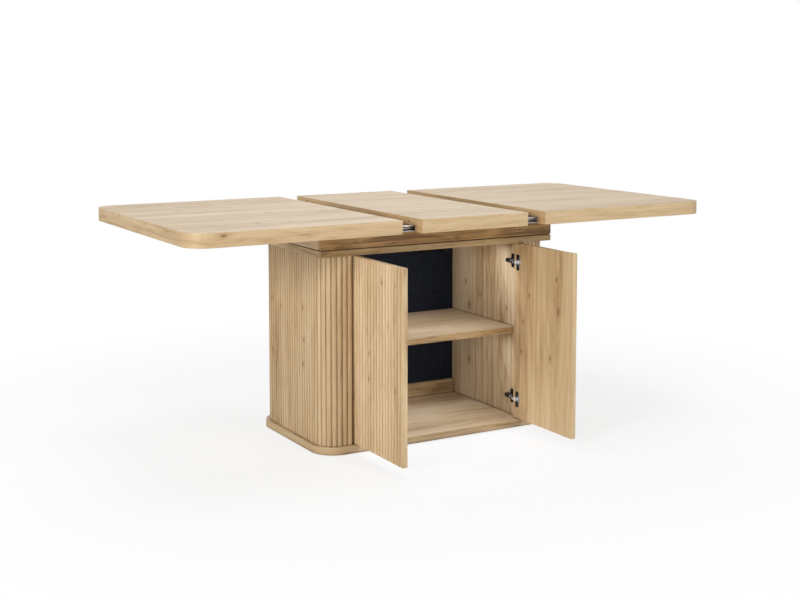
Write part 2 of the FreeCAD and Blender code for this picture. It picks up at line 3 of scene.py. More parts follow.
import bmesh
import bpy
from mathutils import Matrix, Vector


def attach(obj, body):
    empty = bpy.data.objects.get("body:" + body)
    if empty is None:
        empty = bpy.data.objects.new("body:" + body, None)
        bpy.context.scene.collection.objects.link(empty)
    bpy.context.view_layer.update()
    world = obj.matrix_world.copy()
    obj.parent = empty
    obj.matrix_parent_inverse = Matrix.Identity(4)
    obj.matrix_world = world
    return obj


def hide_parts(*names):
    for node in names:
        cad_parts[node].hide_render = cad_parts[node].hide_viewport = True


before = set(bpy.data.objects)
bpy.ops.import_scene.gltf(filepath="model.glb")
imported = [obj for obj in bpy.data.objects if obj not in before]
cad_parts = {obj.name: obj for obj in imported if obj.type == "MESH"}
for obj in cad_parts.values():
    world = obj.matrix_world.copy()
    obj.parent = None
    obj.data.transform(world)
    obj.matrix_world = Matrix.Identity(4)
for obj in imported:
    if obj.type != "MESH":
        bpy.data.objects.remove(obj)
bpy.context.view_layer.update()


# --- Plinth board and its glides -------------------------------------------------------------
# The plinth is one thick board with rounded corners that is also the floor of the cabinet. It is
# chipboard in oak foil, edged all round, and it stands on nine black nylon glides.

def grow(tree, kind, feeds=None, **settings):
    """Adds a node. feeds gives each input its value, or the output that feeds it."""
    made = tree.nodes.new("ShaderNode" + kind)
    for key, value in settings.items():
        setattr(made, key, value)
    for key, value in (feeds or {}).items():
        if isinstance(value, bpy.types.NodeSocket):
            tree.links.new(value, made.inputs[key])
        else:
            made.inputs[key].default_value = value
    return made.outputs


def paint(red, green, blue):
    """A colour as a painter mixes it, 0 to 255, turned into light for the shader."""
    return tuple(((c / 255 + 0.055) / 1.055) ** 2.4 for c in (red, green, blue)) + (1.0,)


def dress(finish, *names):
    """Gives the finish to the named pieces."""
    for name in names:
        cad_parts[name].material_slots[0].material = finish


OAK_COAT = (paint(164, 131, 91), paint(194, 164, 122), paint(208, 180, 139), paint(219, 194, 155))
# Painted light: the pale coat is a paler copy of the oak, for the sheen on the left half top and
# the light on the plinth.
PALE_LIT_COAT = (paint(170, 142, 106), paint(199, 172, 135), paint(211, 187, 151), paint(221, 200, 166))
COAT_STEPS = (0.12, 0.36, 0.56, 0.80)
KNOT_BROWN = paint(132, 92, 54)
KNOT_SLIM = 0.5
# Painted shade in grooves and joints is mixed towards this brown.
CREASE_SHADE_BROWN = paint(90, 56, 24)
EASED_EDGE = 0.001
SQUARE_ON = 0.6


def oak(name, runs, knots=(), through="X", seed=0.0, rings=24.0, streaks=1.0, flecks=1.0,
        rough=0.44, crease_shade=0.8, front_crease_shade=None, reach=0.003, coat=OAK_COAT, rim=None,
        ends=None):
    """Oak foil with the grain along X, Y or Z; it turns to follow the edges of the board.

    Each knot is the place of its heart and its length along the grain, in metres. Knots go
    through the board along one axis. rings, streaks and flecks say how strong the figure is.
    coat holds four colours, from dark to pale. rim tints the edging, and ends tints it once more
    where it faces along X; a tint that lightens is painted light and one that darkens is painted
    shade. The crease shading is painted shade: how dark the wood is made within reach of a groove
    or joint. The front crease shading gives another value for the front, and the places in Y where
    it starts and is full.
    """
    finish = bpy.data.materials.new(name)
    finish.use_nodes = True
    tree = finish.node_tree
    shader = tree.nodes["Principled BSDF"]
    place = grow(tree, "TexCoord")["Object"]

    def reckon(operation, first, second=0.0, third=0.0):
        return grow(tree, "Math", {0: first, 1: second, 2: third}, operation=operation)[0]

    # The long edges and the ends of a board are edged, with the grain along the edge.
    facing = grow(tree, "SeparateXYZ", {0: grow(tree, "NewGeometry")["True Normal"]})
    level = reckon("GREATER_THAN", reckon("ABSOLUTE", facing["Z"]), SQUARE_ON)
    on_rim = level if runs == "Z" else reckon("SUBTRACT", 1.0, level)

    def stretched(where, along, across, detail=2.0):
        face = tuple(along if axis == runs else across for axis in "XYZ")
        scale = grow(tree, "Mix", {"Factor": on_rim, "A": face, "B": (along, along, across)},
                     data_type="VECTOR")["Result"]
        drawn = grow(tree, "VectorMath", {0: where, 1: scale}, operation="MULTIPLY")[0]
        drawn = grow(tree, "VectorMath", {0: drawn, 1: (seed, seed * 0.7, -seed * 1.3)},
                     operation="ADD")[0]
        return grow(tree, "TexNoise", {"Vector": drawn, "Scale": 1.0, "Detail": detail,
                                       "Roughness": 0.55})

    wander = stretched(place, 1.6, 7.0)["Color"]
    wander = grow(tree, "VectorMath", {0: wander, 1: (0.5, 0.5, 0.5)}, operation="SUBTRACT")[0]
    wander = grow(tree, "VectorMath", {0: wander, "Scale": 0.035}, operation="SCALE")[0]
    where = grow(tree, "VectorMath", {0: place, 1: wander}, operation="ADD")[0]

    # The distance from the nearest knot is 1 at the knot's rim.
    nearest = None
    for heart, length in knots:
        scale = [2.0 / length / KNOT_SLIM] * 3
        scale["XYZ".index(runs)] = 2.0 / length
        if through:
            scale["XYZ".index(through)] = 0.0
        away = grow(tree, "VectorMath", {0: where, 1: heart}, operation="SUBTRACT")[0]
        away = grow(tree, "VectorMath", {0: away, 1: scale}, operation="MULTIPLY")[0]
        away = grow(tree, "VectorMath", {0: away}, operation="LENGTH")["Value"]
        nearest = away if nearest is None else reckon("MINIMUM", nearest, away)

    # Year rings bend round the knots, and each ends in a darker line of late wood.
    board = stretched(where, 0.5, 3.4, 1.0)["Fac"]
    swirl = reckon("MULTIPLY", board, rings)
    if knots:
        pull = grow(tree, "MapRange", {"Value": nearest, "From Min": 0.0, "From Max": 5.0,
                                       "To Min": 2.6, "To Max": 0.0},
                    interpolation_type="SMOOTHERSTEP")[0]
        swirl = reckon("ADD", swirl, pull)
    ring = reckon("FRACT", swirl)
    late_wood = reckon("POWER", ring, 3.0)

    # Streaks, dashes, flecks, fibres and pores add up to one tone, from dark to pale.
    broad = stretched(where, 0.8, 9.0, 4.0)["Fac"]
    streak = stretched(where, 2.6, 62.0)["Fac"]
    dash = stretched(where, 13.0, 105.0)["Fac"]
    fleck = grow(tree, "MapRange", {"Value": dash, "From Min": 0.63, "From Max": 0.76})[0]
    fibre = stretched(where, 9.0, 420.0)["Fac"]
    pore = stretched(where, 70.0, 1500.0, 1.0)["Fac"]
    pore = grow(tree, "MapRange", {"Value": pore, "From Min": 0.6, "From Max": 0.72})[0]

    tone = reckon("MULTIPLY_ADD", broad, 1.1 * streaks, 0.52 - 0.55 * streaks)
    tone = reckon("ADD", tone, reckon("MULTIPLY_ADD", streak, 0.7 * streaks, -0.35 * streaks))
    tone = reckon("ADD", tone, reckon("MULTIPLY_ADD", dash, -0.55 * flecks, 0.275 * flecks))
    tone = reckon("SUBTRACT", tone, reckon("MULTIPLY", fleck, 0.3 * flecks))
    tone = reckon("ADD", tone, reckon("MULTIPLY_ADD", fibre, 0.5, -0.25))
    tone = reckon("SUBTRACT", tone, reckon("MULTIPLY", late_wood, 0.1 * streaks))
    tone = reckon("SUBTRACT", tone, reckon("MULTIPLY", pore, 0.12))
    wood = grow(tree, "ValToRGB", {"Fac": tone})
    ramp = tree.nodes[-1].color_ramp
    ramp.elements[0].position = COAT_STEPS[0]
    ramp.elements[0].color = coat[0]
    ramp.elements[1].position = COAT_STEPS[3]
    ramp.elements[1].color = coat[3]
    ramp.elements.new(COAT_STEPS[1]).color = coat[1]
    ramp.elements.new(COAT_STEPS[2]).color = coat[2]
    colour = wood["Color"]
    if rim:
        colour = grow(tree, "Mix", {"Factor": on_rim, "A": colour, "B": rim}, data_type="RGBA",
                      blend_type="MULTIPLY")["Result"]
    if ends:
        on_end = reckon("GREATER_THAN", reckon("ABSOLUTE", facing["X"]), SQUARE_ON)
        colour = grow(tree, "Mix", {"Factor": on_end, "A": colour, "B": ends}, data_type="RGBA",
                      blend_type="MULTIPLY")["Result"]

    # A knot has a brown heart, and the wood round it is darker.
    if knots:
        halo = grow(tree, "MapRange", {"Value": nearest, "From Min": 0.6, "From Max": 3.2,
                                       "To Min": 0.45, "To Max": 0.0},
                    interpolation_type="SMOOTHSTEP")[0]
        colour = grow(tree, "Mix", {"Factor": halo, "A": colour, "B": coat[0]},
                      data_type="RGBA")["Result"]
        heart = grow(tree, "MapRange", {"Value": nearest, "From Min": 0.35, "From Max": 1.15,
                                        "To Min": 0.9, "To Max": 0.0},
                     interpolation_type="SMOOTHSTEP")[0]
        colour = grow(tree, "Mix", {"Factor": heart, "A": colour, "B": KNOT_BROWN},
                      data_type="RGBA")["Result"]

    # Edges are eased and a little rubbed. Joints and grooves are darkened by painted shade where
    # the wood is hemmed in.
    eased = grow(tree, "Bevel", {"Radius": EASED_EDGE}, samples=4)[0]
    flat = grow(tree, "NewGeometry")["Normal"]
    edge = grow(tree, "VectorMath", {0: eased, 1: flat}, operation="DOT_PRODUCT")["Value"]
    edge = grow(tree, "MapRange", {"Value": edge, "From Min": 0.98, "From Max": 0.80,
                                   "To Min": 0.0, "To Max": 0.35})[0]
    colour = grow(tree, "Mix", {"Factor": edge, "A": colour, "B": coat[3]},
                  data_type="RGBA")["Result"]
    if crease_shade:
        darkest = crease_shade
        if front_crease_shade:
            front_darkest, start, full = front_crease_shade
            depth = grow(tree, "SeparateXYZ", {0: place})["Y"]
            darkest = grow(tree, "MapRange", {"Value": depth, "From Min": start,
                                              "From Max": full, "To Min": crease_shade,
                                              "To Max": front_darkest})[0]
        open_air = grow(tree, "AmbientOcclusion", {"Distance": reach}, samples=6)["AO"]
        painted_shade = grow(tree, "MapRange", {"Value": open_air, "From Min": 0.4, "From Max": 0.95,
                                       "To Min": darkest, "To Max": 0.0})[0]
        colour = grow(tree, "Mix", {"Factor": painted_shade, "A": colour, "B": CREASE_SHADE_BROWN},
                      data_type="RGBA")["Result"]
    tree.links.new(colour, shader.inputs["Base Color"])

    # The lacquer is duller on fibres and pores, and both can be felt.
    gloss = reckon("MULTIPLY_ADD", fibre, 0.16, rough - 0.08)
    gloss = reckon("ADD", gloss, reckon("MULTIPLY", pore, 0.15))
    tree.links.new(gloss, shader.inputs["Roughness"])
    relief = reckon("SUBTRACT", reckon("MULTIPLY", fibre, 0.6), pore)
    relief = reckon("SUBTRACT", relief, reckon("MULTIPLY", late_wood, 0.35))
    bump = grow(tree, "Bump", {"Strength": 0.35, "Distance": 0.00012, "Height": relief,
                               "Normal": eased})[0]
    tree.links.new(bump, shader.inputs["Normal"])
    return finish


SMALL_EASE = 0.0004


def plastic(name, colour, rough=0.42):
    """Moulded plastic: a fine spark-eroded skin, with soft edges."""
    finish = bpy.data.materials.new(name)
    finish.use_nodes = True
    tree = finish.node_tree
    shader = tree.nodes["Principled BSDF"]
    place = grow(tree, "TexCoord")["Object"]
    cloud = grow(tree, "TexNoise", {"Vector": place, "Scale": 60.0, "Detail": 3.0})["Fac"]
    skin = grow(tree, "TexNoise", {"Vector": place, "Scale": 2600.0, "Detail": 2.0})["Fac"]
    shade = grow(tree, "MapRange", {"Value": cloud, "To Min": 0.84, "To Max": 1.12})[0]
    mixed = grow(tree, "VectorMath", {0: colour[:3], "Scale": shade}, operation="SCALE")[0]
    tree.links.new(mixed, shader.inputs["Base Color"])
    gloss = grow(tree, "MapRange", {"Value": skin, "To Min": rough - 0.1,
                                    "To Max": rough + 0.14})[0]
    tree.links.new(gloss, shader.inputs["Roughness"])
    shader.inputs["Specular IOR Level"].default_value = 0.2
    eased = grow(tree, "Bevel", {"Radius": SMALL_EASE}, samples=4)[0]
    bump = grow(tree, "Bump", {"Strength": 0.25, "Distance": 0.00004, "Height": skin,
                               "Normal": eased})[0]
    tree.links.new(bump, shader.inputs["Normal"])
    return finish


# Painted shade: the plinth's edges are darkened, and its crease shading reaches 13 mm to draw the
# shade where the shells stand on it.
PLINTH_RIM_SHADE = (0.86, 0.81, 0.72, 1.0)
dress(oak("plinth_oak", "X", seed=3.1, streaks=1.5, reach=0.013, coat=PALE_LIT_COAT,
          rim=PLINTH_RIM_SHADE), "plinth_board")
dress(plastic("glide_nylon", paint(28, 28, 30)), "plinth_glides")


# --- Inner walls, shelf, back rails and liner ------------------------------------------------
# Smooth boards in oak foil: two upright walls, a loose shelf on steel pins and two low rails at
# the back. The back is closed by a thin dark board with a linen print.

wall_knots = [((0.33, 0.094, 0.378), 0.028), ((0.33, 0.021, 0.426), 0.018),
              ((0.33, 0.094, 0.168), 0.020), ((0.33, -0.146, 0.398), 0.018),
              ((0.33, 0.122, 0.463), 0.016)]
# Painted shade: a greyer copy of the oak for the inner walls, which stand in the cabinet's shade.
GREY_SHADE_COAT = (paint(162, 129, 88), paint(193, 168, 131), paint(209, 185, 149),
               paint(221, 200, 165))
CABINET_REACH = 0.007
dress(oak("right_wall_oak", "Z", wall_knots, seed=1.7, rings=34, streaks=1.6, flecks=0.3,
          reach=CABINET_REACH, coat=GREY_SHADE_COAT), "right_side_wall")
dress(oak("left_wall_oak", "Z", seed=6.2, rings=30, flecks=0.3, reach=CABINET_REACH,
          coat=GREY_SHADE_COAT), "left_side_wall")

# Painted light and shade: the shelf has its own darker copy of the oak, and its edges are painted
# lighter.
SHELF_SHADE_COAT = (paint(162, 131, 93), paint(190, 164, 127), paint(203, 179, 144),
              paint(215, 193, 159))
SHELF_RIM_LIGHT = (1.15, 1.10, 0.98, 1.0)
dress(oak("shelf_oak", "X", seed=4.4, streaks=1.2, reach=CABINET_REACH, coat=SHELF_SHADE_COAT,
          rim=SHELF_RIM_LIGHT), "shelf")

# Painted shade: a darker copy of the oak for the back rails and the cabinet's top board, and the
# faces of the back rails darker still.
HALF_SHADED_COAT = (paint(148, 116, 76), paint(180, 149, 106), paint(195, 166, 124),
                    paint(207, 181, 139))
BACK_RAIL_RIM_SHADE = (0.80, 0.79, 0.78, 1.0)
dress(oak("rail_oak", "X", seed=8.3, reach=CABINET_REACH, coat=HALF_SHADED_COAT,
          rim=BACK_RAIL_RIM_SHADE), "lower_back_rail", "upper_back_rail")

LINEN_DARK = paint(9, 13, 19)
LINEN_LIGHT = paint(38, 44, 54)
THREAD = 0.0011
# The wave texture repeats after this length when its scale is 1.
WAVE_LENGTH = 0.314


def linen(name):
    """A printed linen weave: warp and weft threads with slubs, on a thin dark board."""
    finish = bpy.data.materials.new(name)
    finish.use_nodes = True
    tree = finish.node_tree
    shader = tree.nodes["Principled BSDF"]
    place = grow(tree, "TexCoord")["Object"]
    threads = []
    for axis, slub in (("X", (260.0, 1.0, 14.0)), ("Z", (14.0, 1.0, 260.0))):
        wave = grow(tree, "TexWave", {"Vector": place, "Scale": WAVE_LENGTH / THREAD,
                                      "Distortion": 0.6, "Detail": 1.0},
                    bands_direction=axis)["Fac"]
        stretch = grow(tree, "Mapping", {"Vector": place, "Scale": slub})[0]
        thick = grow(tree, "TexNoise", {"Vector": stretch, "Scale": 1.0, "Detail": 2.0})["Fac"]
        threads.append(grow(tree, "Math", {0: wave, 1: thick}, operation="MULTIPLY")[0])
    weave = grow(tree, "Math", {0: threads[0], 1: threads[1]}, operation="ADD")[0]
    mixed = grow(tree, "ValToRGB", {"Fac": weave})
    ramp = tree.nodes[-1].color_ramp
    ramp.elements[0].position = 0.25
    ramp.elements[0].color = LINEN_DARK
    ramp.elements[1].position = 0.85
    ramp.elements[1].color = LINEN_LIGHT
    tree.links.new(mixed["Color"], shader.inputs["Base Color"])
    shader.inputs["Roughness"].default_value = 0.75
    shader.inputs["Specular IOR Level"].default_value = 0.12
    bump = grow(tree, "Bump", {"Strength": 0.4, "Distance": 0.0001, "Height": weave})[0]
    tree.links.new(bump, shader.inputs["Normal"])
    return finish


dress(linen("dark_linen"), "back_liner")

RUBBED_STEEL = paint(206, 204, 200)


def metal(name, colour, rough=0.3, spangle=0.1, metallic=1.0):
    """Plated or painted steel: faint draw lines, a mottled sheen and rubbed edges."""
    finish = bpy.data.materials.new(name)
    finish.use_nodes = True
    tree = finish.node_tree
    shader = tree.nodes["Principled BSDF"]
    place = grow(tree, "TexCoord")["Object"]
    cloud = grow(tree, "TexNoise", {"Vector": place, "Scale": 140.0, "Detail": 4.0})["Fac"]
    drawn = grow(tree, "Mapping", {"Vector": place, "Scale": (60.0, 1800.0, 1800.0)})[0]
    lines = grow(tree, "TexNoise", {"Vector": drawn, "Scale": 1.0, "Detail": 2.0})["Fac"]
    shade = grow(tree, "MapRange", {"Value": cloud, "To Min": 0.8, "To Max": 1.12})[0]
    mixed = grow(tree, "VectorMath", {0: colour[:3], "Scale": shade}, operation="SCALE")[0]
    eased = grow(tree, "Bevel", {"Radius": SMALL_EASE}, samples=4)[0]
    flat = grow(tree, "NewGeometry")["Normal"]
    edge = grow(tree, "VectorMath", {0: eased, 1: flat}, operation="DOT_PRODUCT")["Value"]
    edge = grow(tree, "MapRange", {"Value": edge, "From Min": 0.97, "From Max": 0.75,
                                   "To Min": 0.0, "To Max": 0.35})[0]
    mixed = grow(tree, "Mix", {"Factor": edge, "A": mixed, "B": RUBBED_STEEL},
                 data_type="RGBA")["Result"]
    tree.links.new(mixed, shader.inputs["Base Color"])
    gloss = grow(tree, "MapRange", {"Value": cloud, "To Min": rough - spangle,
                                    "To Max": rough + spangle})[0]
    tree.links.new(gloss, shader.inputs["Roughness"])
    shader.inputs["Metallic"].default_value = metallic
    bump = grow(tree, "Bump", {"Strength": 0.2, "Distance": 0.00003, "Height": lines,
                               "Normal": eased})[0]
    tree.links.new(bump, shader.inputs["Normal"])
    return finish


zinc = metal("zinc_screw", paint(176, 176, 174), rough=0.34)
dress(zinc, "shelf_pins")


# --- Ribbed shells and back panel ------------------------------------------------------------
# The ribs are milled in a thin board that is bent round the corners on upright battens. Foil
# follows the ribs, so the grain runs down them without a joint.

side_knots = [((-0.43, -0.084, 0.459), 0.014), ((-0.43, -0.088, 0.352), 0.012),
              ((-0.43, -0.084, 0.270), 0.020), ((-0.43, 0.153, 0.282), 0.016),
              ((-0.43, 0.084, 0.447), 0.010), ((-0.43, -0.096, 0.180), 0.010),
              ((-0.43, 0.153, 0.461), 0.014)]
# Painted shade: the left shell has a slightly darker copy of the oak.
SHELL_SHADE_COAT = (paint(159, 126, 87), paint(189, 159, 118), paint(203, 175, 135),
              paint(214, 189, 151))
# The painted shade in the grooves is darkest on the flat beside the door, and less so round the
# bend to the side.
FRONT_CREASE_SHADE = (0.95, -0.195, -0.240)
dress(oak("left_shell_oak", "Z", side_knots, seed=2.6, flecks=0.5, crease_shade=0.08,
          front_crease_shade=FRONT_CREASE_SHADE, coat=SHELL_SHADE_COAT), "left_ribbed_shell")
dress(oak("right_shell_oak", "Z", seed=7.9, flecks=0.7, crease_shade=0), "right_ribbed_shell")
dress(oak("back_panel_oak", "Z", seed=5.5, flecks=0.7, crease_shade=0), "ribbed_back_panel")
plain_wood = oak("spruce_wood", "Z", seed=9.4, streaks=0.8, rough=0.6)
dress(plain_wood, "shell_battens")


# --- Cabinet top and the thin dark board -----------------------------------------------------
# The cabinet is closed by a board that shows as the lower layer of the frame. A thin dark board
# on it makes the shadow line under the rails. The closing board is painted darker, with darker
# edges, as painted shade; its ends are painted lighter, as painted light against the top's shade.

CABINET_TOP_RIM_SHADE = (0.92, 0.91, 0.82, 1.0)
CABINET_TOP_ENDS_LIGHT = (1.54, 1.74, 2.25, 1.0)
dress(oak("cabinet_top_oak", "X", seed=11.2, streaks=1.5, coat=HALF_SHADED_COAT,
          rim=CABINET_TOP_RIM_SHADE, ends=CABINET_TOP_ENDS_LIGHT), "cabinet_top_board")
# The gap under the rails is a real recess; the thin board in it is dark brown as painted shade.
dress(plastic("dark_board_edge", paint(62, 44, 28), rough=0.6), "spacer_board")


# --- Frame under the top ---------------------------------------------------------------------
# Four apron rails in oak foil are screwed to corner blocks. Bolts come up from the cabinet, and
# plain cross bearers carry the runners.

apron_knots = [((0.058, -0.23, 0.680), 0.012), ((-0.322, -0.23, 0.690), 0.010),
               ((0.318, -0.23, 0.690), 0.010)]
# Painted shade: a darker, browner copy of the oak for the front and back apron rails, which lie in
# the shade of the top.
SHADED_COAT = (paint(137, 99, 56), paint(177, 137, 84), paint(196, 156, 100),
               paint(211, 173, 117))
dress(oak("apron_oak", "X", apron_knots, "Y", seed=12.7, streaks=2.2, coat=SHADED_COAT),
      "front_apron_rail", "back_apron_rail")
dress(oak("end_apron_oak", "Y", seed=13.9), "left_apron_rail", "right_apron_rail")
dress(plain_wood, "corner_blocks")
dress(oak("bearer_wood", "Y", seed=14.1, streaks=0.8, rough=0.6), "outer_bearers", "inner_bearers")
dress(zinc, "frame_bolts", "frame_screws")


# --- Runners ---------------------------------------------------------------------------------
# Rolled steel rails on the bearers carry the slides of the half tops. Each slide is screwed
# under its top, and nylon guides close its end.

runner_steel = metal("runner_steel", paint(198, 200, 203), rough=0.3, metallic=0.8)


def loft(shape, rings):
    """Skins a row of closed rings of points, and closes both ends."""
    made = [[shape.verts.new(spot) for spot in ring] for ring in rings]
    for one, two in zip(made, made[1:]):
        for i in range(len(one)):
            j = (i + 1) % len(one)
            shape.faces.new((one[i], one[j], two[j], two[i]))
    shape.faces.new(made[0][::-1])
    shape.faces.new(made[-1])


SHARP_ANGLE = 32.0


def fit(name, shape, finish, body, slot_name, *nodes):
    """Makes the piece, gives it its finish and hangs it on its body for the nodes it shows."""
    bmesh.ops.recalc_face_normals(shape, faces=shape.faces)
    for face in shape.faces:
        face.smooth = True
    mesh = bpy.data.meshes.new(name)
    shape.to_mesh(mesh)
    shape.free()
    mesh.set_sharp_from_angle(angle=math.radians(SHARP_ANGLE))
    made = bpy.data.objects.new(name, mesh)
    bpy.context.scene.collection.objects.link(made)
    mesh.materials.append(finish)
    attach(made, body)
    if nodes:
        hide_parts(*nodes)


def bend(middle_u, middle_v, radius, start, end, steps=4):
    """Points on a bend, from one angle to another, in degrees."""
    turns = [math.radians(start + (end - start) * i / steps) for i in range(steps + 1)]
    return [(middle_u + radius * math.cos(a), middle_v + radius * math.sin(a)) for a in turns]


def thicken(line, thick):
    """The outline of a bent sheet of steel, from its middle line."""
    near = []
    far = []
    for i, (u, v) in enumerate(line):
        before = line[max(i - 1, 0)]
        after = line[min(i + 1, len(line) - 1)]
        du = after[0] - before[0]
        dv = after[1] - before[1]
        share = thick / 2 / math.hypot(du, dv)
        near.append((u - dv * share, v + du * share))
        far.append((u + dv * share, v - du * share))
    return near + far[::-1]


RAIL_LIFT = 0.731
WEB_OUT = 0.3892
RAIL_END = 0.440
RAIL_SHEET = 0.0016
RAIL_BEND = 0.0018
WEB_BEND_U = 0.0026
LIP_BEND_U = 0.0064
LIP_U = 0.0082
LOW_BEND_V = 0.0026
HIGH_BEND_V = 0.0174
LOW_TIP_V = 0.0036
HIGH_TIP_V = 0.0146
SLOT_TIP_V = 0.0172


def rail_section(tip):
    """The channel from lip to lip. u runs outwards from the web and v up from its underside."""
    line = [(LIP_U, LOW_TIP_V)] + bend(LIP_BEND_U, LOW_BEND_V, RAIL_BEND, 0, -90)
    line += bend(WEB_BEND_U, LOW_BEND_V, RAIL_BEND, -90, -180)
    line += bend(WEB_BEND_U, HIGH_BEND_V, RAIL_BEND, 180, 90)
    line += bend(LIP_BEND_U, HIGH_BEND_V, RAIL_BEND, 90, 0) + [(LIP_U, tip)]
    return thicken(line, RAIL_SHEET)


def rail_bar(shape, side, section_at):
    """Runs a section along X. section_at holds each place and its section."""
    loft(shape, [[(x, side * (WEB_OUT + u), RAIL_LIFT + v) for u, v in section]
                 for x, section in section_at])


# Two assembly slots are punched in the upper lip, near the left end of the insert.
SLOTS = ((-0.2390, -0.2290), (-0.2120, -0.2030))
SLOT_EASE = 0.0008
# A stop on each half of the rail limits its slide.
STOP_STARTS = (-0.3283, 0.3203)
STOP_LONG = 0.008
STOP_SECTION = ((0.002, 0.0158), (0.0068, 0.0158), (0.0068, 0.0182), (0.002, 0.0182))
# The slides run on two nylon strips behind the lips, a little shorter than the rail. The strips are
# black as painted shade, to darken the inside of the channel.
STRIP_LEVELS = ((0.0022, 0.0078), (0.0128, 0.0178))
STRIP_BACK = 0.0068
STRIP_FACE = 0.0073
STRIP_EASE = 0.0001
STRIP_END = RAIL_END - 0.003

glide_and_shade_black = plastic("glide_strip_nylon", paint(20, 20, 22), rough=0.5)
for side, name in ((-1, "front"), (1, "back")):
    shape = bmesh.new()
    whole = rail_section(HIGH_TIP_V)
    cut = rail_section(SLOT_TIP_V)
    stations = [(-RAIL_END, whole)]
    for start, end in SLOTS:
        stations += [(start, whole), (start + SLOT_EASE, cut), (end - SLOT_EASE, cut),
                     (end, whole)]
    rail_bar(shape, side, stations + [(RAIL_END, whole)])
    for start in STOP_STARTS:
        rail_bar(shape, side, [(start, STOP_SECTION), (start + STOP_LONG, STOP_SECTION)])
    fit(name + "_rolled_rail", shape, runner_steel, "base", "runner_steel",
        name + "_fixed_rail")

    shape = bmesh.new()
    for low, high in STRIP_LEVELS:
        strip = [(STRIP_BACK, low), (STRIP_FACE - STRIP_EASE, low),
                 (STRIP_FACE, low + STRIP_EASE), (STRIP_FACE, high - STRIP_EASE),
                 (STRIP_FACE - STRIP_EASE, high), (STRIP_BACK, high)]
        rail_bar(shape, side, [(-STRIP_END, strip), (STRIP_END, strip)])
    fit(name + "_glide_strips", shape, glide_and_shade_black, "base", "grey_plastic")

guide_nylon = plastic("guide_nylon", paint(196, 196, 192), rough=0.5)
for half in ("left", "right"):
    dress(runner_steel, half + "_top_slides")
    dress(guide_nylon, half + "_top_slide_guides")
    dress(zinc, half + "_top_slide_screws")


# --- Half tops -------------------------------------------------------------------------------
# Each half is a board with a wide strip glued under its rim, so that it looks twice as thick.
# Oak foil covers it, and an edging runs round the outside.

top_knots = {"left": [((-0.769, 0.139, 0.77), 0.022), ((-0.590, 0.160, 0.77), 0.018),
                      ((-0.532, -0.032, 0.77), 0.018), ((-0.690, -0.294, 0.77), 0.020),
                      ((-0.590, -0.300, 0.77), 0.016), ((-0.340, -0.195, 0.77), 0.016)],
             "right": [((0.62, 0.1, 0.77), 0.018), ((0.45, -0.21, 0.77), 0.016)]}
edge_knots = {"left": [((-0.855, -0.448, 0.768), 0.026), ((-0.963, 0.169, 0.768), 0.020)],
              "right": []}
# Painted light and shade: the left half top has the paler copy of the oak as painted sheen, the
# right half top and the insert a darker copy as painted shade, and the rims of panels and strips
# are tinted golden as painted bounce light from the wood that faces them.
MELLOW_SHADE_COAT = (paint(160, 132, 96), paint(189, 162, 124), paint(201, 176, 140),
               paint(211, 189, 155))
GOLDEN_BOUNCE_RIM = (0.96, 0.86, 0.70, 1.0)
for half, seed, coat in (("left", 16.3, PALE_LIT_COAT), ("right", 18.8, MELLOW_SHADE_COAT)):
    dress(oak(half + "_top_oak", "X", top_knots[half], "Z", seed=seed, streaks=1.1,
              coat=coat, rim=GOLDEN_BOUNCE_RIM), half + "_top_panel")
    dress(oak(half + "_edge_oak", "X", edge_knots[half], "", seed=seed + 0.6, flecks=0.6),
          half + "_top_edge_band")
    dress(oak(half + "_strip_oak", "X", seed=seed + 1.1, rim=GOLDEN_BOUNCE_RIM),
          half + "_top_front_strip", half + "_top_back_strip")
    dress(oak(half + "_end_strip_oak", "Y", seed=seed + 1.9), half + "_top_end_strip")
beech = oak("beech_dowel", "X", seed=20.2, streaks=0.5, rough=0.55)
dress(beech, "left_top_dowels", "insert_dowels")


# --- Loose insert ----------------------------------------------------------------------------
# The insert is built as the half tops are, with edging at its front and back only. It lies on
# the cross bearers between the two halves.

insert_knots = [((-0.133, -0.280, 0.77), 0.016), ((-0.013, -0.270, 0.77), 0.014),
                ((0.082, -0.325, 0.77), 0.016), ((0.147, -0.175, 0.77), 0.014)]
# Painted shade and bounce light: the same darker copy of the oak and golden rims as on the right
# half top.
dress(oak("insert_oak", "X", insert_knots, "Z", seed=21.7, streaks=1.1, coat=MELLOW_SHADE_COAT,
          rim=GOLDEN_BOUNCE_RIM), "insert_panel")
dress(oak("insert_edge_oak", "X", seed=23.3, flecks=0.6), "insert_edge_bands")
dress(oak("insert_strip_oak", "X", seed=24.6, rim=GOLDEN_BOUNCE_RIM), "insert_front_strip",
      "insert_back_strip")


# --- Doors and hinges ------------------------------------------------------------------------
# The doors are ribbed outside and plain inside, with the grain upright. Each hangs on two
# concealed hinges: a nickel cup with black wings let into the door, a nickel arm with a black
# cover, and a black steel plate screwed to the wall.

left_door_knots = [((-0.32, -0.332, 0.345), 0.012), ((-0.32, -0.497, 0.348), 0.014),
                   ((-0.32, -0.456, 0.453), 0.016), ((-0.32, -0.332, 0.264), 0.014),
                   ((-0.32, -0.508, 0.258), 0.018), ((-0.32, -0.413, 0.581), 0.012),
                   ((-0.32, -0.503, 0.586), 0.012)]
